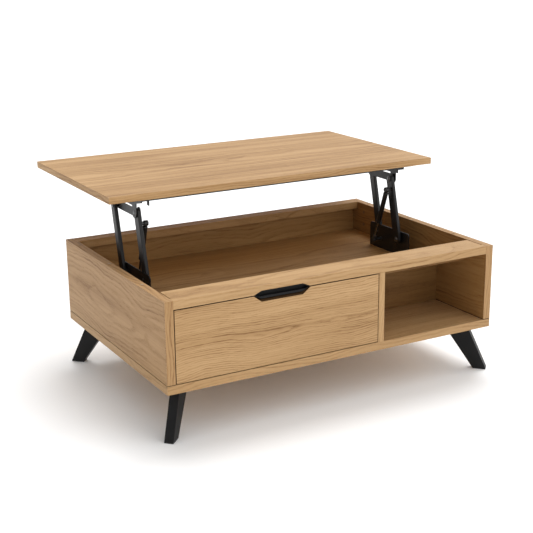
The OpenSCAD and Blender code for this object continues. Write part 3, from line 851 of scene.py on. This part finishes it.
def outboard_pin(web_in, arm_in, arm_out):
    """A pivot pin with its tail riveted over the web, a spacer, and its head outboard of the arm."""
    web_out = web_in + WEB_T
    tail = dome(web_in - RIVET_T, web_in, RIVET_R) + [(PIN_R, web_in)]
    spacer = [(PIN_R, web_out), (RIVET_R, web_out), (RIVET_R, arm_in - PLAY), (PIN_R, arm_in - PLAY)]
    return lathe(tail + spacer + pin_head(arm_out, 1)[::-1])


def add_pivots():
    front_in, front_out = span_x("front_arm_right")
    rear_in, rear_out = span_x("rear_arm_right")
    web_in = span_x("mech_base_right")[0]
    front_base = Vector(JOINTS["lid_lift"]["pos_m"])
    rear_base = Vector(JOINTS["left_rear_arm_swing"]["pos_m"])
    front_top = Vector(JOINTS["lid_level"]["pos_m"])
    rear_top = front_top + rear_base - front_base
    inboard = inboard_pin(front_in, front_out, web_in)
    outboard = outboard_pin(web_in, rear_in, rear_out)
    for node, body, front, rear in (("base_pivot_pins", "carcass", front_base, rear_base),
                                    ("lid_pivot_pins", "lid", front_top, rear_top)):
        parts = []
        for _, side in SIDES:
            parts.append((inboard, outward(side, (0, front.y, front.z))))
            parts.append((outboard, outward(side, (0, rear.y, rear.z))))
        add_piece(node + "_riveted", parts, DARK_STEEL, body, (node,))


# ---- Lift: gas struts ----

BALL_R = 5.0
BALL_GAP = 0.25
BALL_NECK_R = 3.0
STUD_COLLAR = 9.0
FLANGE_T = 2.0
LOWER_CUP_R = 8.0
LOWER_CUP_REACH = 7.0
UPPER_CUP_R = 8.6
UPPER_CUP_REACH = 8.0
SOCKET_NECK_R = 6.2
SOCKET_GRIP = 10.0
ROD_R = 4.0
ROD_REACH = 168.0
ROD_CHAMFER = 0.8
TUBE_R = 8.0
TUBE_LENGTH = 128.0
TUBE_BORE_R = 4.06
GROOVE_R = 7.4


def ball_cup(reach, rim_r):
    """A ball socket, from its back at reach behind the ball's centre to its lip, which looks outboard."""
    hollow = BALL_R + BALL_GAP
    lip = reach - 1.8
    back = [(0, -reach), (rim_r - 2.2, -reach), (rim_r, -lip)]
    front = [(rim_r, reach - 3.2), (rim_r - 1.2, lip), (4.2, lip)]
    inside = arc(hollow, 47, -90, 10)[:-1] + [(0, -hollow)]
    return lathe(back + front + inside)


def ball_stud(end, flange_r):
    """A ball on a neck, with a shoulder that starts at the collar and a flange that stops at end."""
    shoulder_r = flange_r * 0.8
    ball = [(0, -BALL_R)] + arc(BALL_R, -90, 50, 12)[1:]
    neck = [(BALL_NECK_R, 4.4), (BALL_NECK_R, STUD_COLLAR), (shoulder_r, STUD_COLLAR)]
    flange = [(shoulder_r, end - FLANGE_T), (flange_r, end - FLANGE_T), (flange_r, end), (0, end)]
    return lathe(ball + neck + flange)


def strut_matrix(start, direction):
    """A placement whose Z axis runs along a strut and whose X axis stays level."""
    up = Vector(direction).normalized()
    level = Vector((1, 0, 0))
    matrix = Matrix((level, up.cross(level), up)).transposed().to_4x4()
    matrix.translation = start
    return matrix


def strut_rod():
    """The polished rod, from the lower socket to its chamfered end inside the tube."""
    end = [(ROD_R, ROD_REACH - ROD_CHAMFER), (ROD_R - ROD_CHAMFER, ROD_REACH), (0, ROD_REACH)]
    return lathe([(0, SOCKET_GRIP), (ROD_R, SOCKET_GRIP)] + end)


def strut_tube(low, bore_end, top, neck_end):
    """The black cylinder, rolled in at its mouth, with a groove near it and a neck at its top."""
    bore = [(0, bore_end), (TUBE_BORE_R, bore_end), (TUBE_BORE_R, low + 0.6)]
    mouth = [(4.6, low), (6.4, low), (7.5, low + 0.9), (TUBE_R, low + 2.6)]
    groove = [(TUBE_R, low + 8.6), (GROOVE_R, low + 9.8), (GROOVE_R, low + 10.8), (TUBE_R, low + 12)]
    shoulder = [(TUBE_R, top - 3), (7.4, top - 1.2), (6, top)]
    neck = [(ROD_R, top), (ROD_R, neck_end), (0, neck_end)]
    return lathe(bore + mouth + groove + shoulder + neck)


def lower_socket(side):
    """The rod's ball socket: a cup joined to a neck that is cut clear of the ball."""
    end = SOCKET_GRIP + 7
    bottom = [(0, 4.0), (SOCKET_NECK_R, 4.0), (SOCKET_NECK_R, 9.0)]
    neck = lathe(bottom + [(5.4, end - 1), (4.2, end), (0, end)])
    reach = BALL_R + BALL_GAP
    ball = lathe([(0, -reach)] + arc(reach, -90, 90, 14)[1:-1] + [(0, reach)])
    cup = moved(ball_cup(LOWER_CUP_REACH, LOWER_CUP_R), outward(side, (0, 0, 0)))
    return combine(combine(neck, ball, "DIFFERENCE"), cup, "UNION")


def add_strut(name, side, arm_in):
    """The rod, tube, sockets and upper ball of one strut. Returns the place of its lower ball."""
    low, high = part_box("strut_rod_" + name)
    centre_x = (low.x + high.x) / 2
    base = Vector(JOINTS[name + "_strut_swing"]["pos_m"])
    base.x = centre_x
    low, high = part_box("strut_arm_stud_" + name)
    top = Vector((centre_x, (low.y + high.y) / 2, (low.z + high.z) / 2))
    along = strut_matrix(base, JOINTS[name + "_strut_stretch"]["axis"])
    span = (top - base).length / MM
    rod_body, tube_body = name + "_strut_rod", name + "_strut_tube"

    add_piece("strut_rod_polished_" + name, [(strut_rod(), along)], CHROME,
              rod_body, ("strut_rod_" + name,))
    add_piece("strut_socket_lower_" + name, [(lower_socket(side), along)], SOCKET, rod_body)

    tube = strut_tube(span - TUBE_LENGTH, ROD_REACH + 3, span - 10, span - 6)
    add_piece("strut_cylinder_" + name, [(tube, along)], BLACK,
              tube_body, ("strut_tube_" + name,))
    cup = moved(ball_cup(UPPER_CUP_REACH, UPPER_CUP_R), outward(side, (0, 0, 0)))
    cup_place = along @ Matrix.Translation((0, 0, span * MM))
    add_piece("strut_socket_upper_" + name, [(cup, cup_place)], SOCKET, tube_body)

    ball_x = abs(centre_x)
    stud = ball_stud(arm_in - ball_x / MM, 6.0)
    add_piece("strut_ball_upper_" + name, [(stud, outward(side, (ball_x, top.y, top.z)))],
              DARK_STEEL, name + "_front_arm", ("strut_arm_stud_" + name,))
    return Vector((ball_x, base.y, base.z))


def add_struts():
    arm_in = span_x("front_arm_right")[0]
    web_in = span_x("mech_base_right")[0]
    lower_balls = [(side, add_strut(name, side, arm_in)) for name, side in SIDES]
    stud = ball_stud(web_in - lower_balls[0][1].x / MM, 7.0)
    parts = [(stud, outward(side, place)) for side, place in lower_balls]
    add_piece("strut_balls_lower", parts, DARK_STEEL, "carcass", ("strut_base_studs",))


# ---- Fittings on the inner walls ----

COVER_R = 6.0
COVER_T = 0.8
COVER_FROM_EDGE = 30.0
COVER_FROM_BACK = 40.0
PLATE_RIVET_R = 3.6
PLATE_RIVET_T = 1.6
PLATE_RIVET_IN = 14.0
PLATE_RIVET_UP = 17.0


def add_cover_caps():
    """Plastic caps over the connectors that hold the back panel, one high and one low on each side."""
    low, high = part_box("right_side_panel")
    floor_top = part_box("storage_floor")[1].z
    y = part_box("back_top_rail")[0].y - COVER_FROM_BACK * MM
    face = [(0, 0.3), (COVER_R - 1, 0), (COVER_R, COVER_T * 0.5)]
    cap = lathe(face + [(COVER_R - 0.3, COVER_T), (0, COVER_T)])
    parts = []
    for _, side in SIDES:
        for z in (high.z - COVER_FROM_EDGE * MM, floor_top + COVER_FROM_EDGE * MM):
            parts.append((cap, outward(side, (low.x - COVER_T * MM, y, z))))
    add_piece("connector_caps", parts, COVER_BROWN, "carcass")


def add_plate_rivets():
    """Round rivet heads at the lower corners of the base plates, on their inboard face."""
    low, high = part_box("mech_base_right")
    head = lathe(dome(-PLATE_RIVET_T, 0, PLATE_RIVET_R) + [(0, 0)])
    z = low.z + PLATE_RIVET_UP * MM
    parts = []
    for _, side in SIDES:
        for y in (low.y + PLATE_RIVET_IN * MM, high.y - PLATE_RIVET_IN * MM):
            parts.append((head, outward(side, (low.x, y, z))))
    add_piece("base_plate_rivets", parts, DARK_STEEL, "carcass")


# ---- Stage ----


def add_floor():
    mesh = bpy.data.meshes.new("floor")
    h = FLOOR_SIZE / 2
    mesh.from_pydata([(-h, -h, 0), (h, -h, 0), (h, h, 0), (-h, h, 0)], [], [(0, 1, 2, 3)])
    mesh.materials.append(floor_material())
    new_object("floor", mesh)


def add_sun():
    light = bpy.data.lights.new("sun", "SUN")
    light.energy = SUN_STRENGTH
    light.angle = SUN_SPREAD
    obj = new_object("sun", light)
    obj.rotation_euler = SUN_DIRECTION.to_track_quat("Z", "Y").to_euler()


def add_sky():
    """A white sky that is a little brighter on one side."""
    world = bpy.data.worlds.new("sky")
    bpy.context.scene.world = world
    world.use_nodes = True
    world.node_tree.nodes.clear()
    g = Graph(world.node_tree)
    direction = g.node("ShaderNodeTexCoord").outputs["Generated"]
    side = g.node("ShaderNodeVectorMath", operation="DOT_PRODUCT")
    g.plug(side.inputs[0], direction)
    g.plug(side.inputs[1], tuple(SKY_BRIGHT_SIDE))
    strength = g.mul(SKY_STRENGTH, g.add(1.0, side.outputs["Value"]))
    background = g.node("ShaderNodeBackground", {"Color": (1.0, 1.0, 1.0), "Strength": strength})
    output = g.node("ShaderNodeOutputWorld")
    g.plug(output.inputs["Surface"], background.outputs[0])


def add_camera():
    """The camera looks along its own -Z axis at a point near the middle of the table."""
    back = Vector((
        sin(CAMERA_AZIMUTH) * cos(CAMERA_ELEVATION),
        -cos(CAMERA_AZIMUTH) * cos(CAMERA_ELEVATION),
        sin(CAMERA_ELEVATION),
    ))
    right = Vector((0, 0, 1)).cross(back).normalized()
    up = back.cross(right)
    turned_right = cos(CAMERA_ROLL) * right + sin(CAMERA_ROLL) * up
    turned_up = cos(CAMERA_ROLL) * up - sin(CAMERA_ROLL) * right
    low, high = cad_box
    target = (Vector(low) + Vector(high)) / 2 + CAMERA_TARGET
    matrix = Matrix((turned_right, turned_up, back)).transposed().to_4x4()
    matrix.translation = target + CAMERA_DISTANCE * back
    camera = bpy.data.cameras.new("camera")
    camera.lens = CAMERA_LENS
    camera.sensor_width = CAMERA_SENSOR
    camera.clip_end = CAMERA_FAR_CLIP
    obj = new_object("camera", camera)
    obj.matrix_world = matrix
    bpy.context.scene.camera = obj


bpy.context.scene.view_settings.view_transform = "Standard"
add_camera()
add_floor()
add_sun()
add_sky()
dress_cad_nodes()
add_all_screws()
add_pivots()
add_struts()
add_cover_caps()
add_plate_rivets()
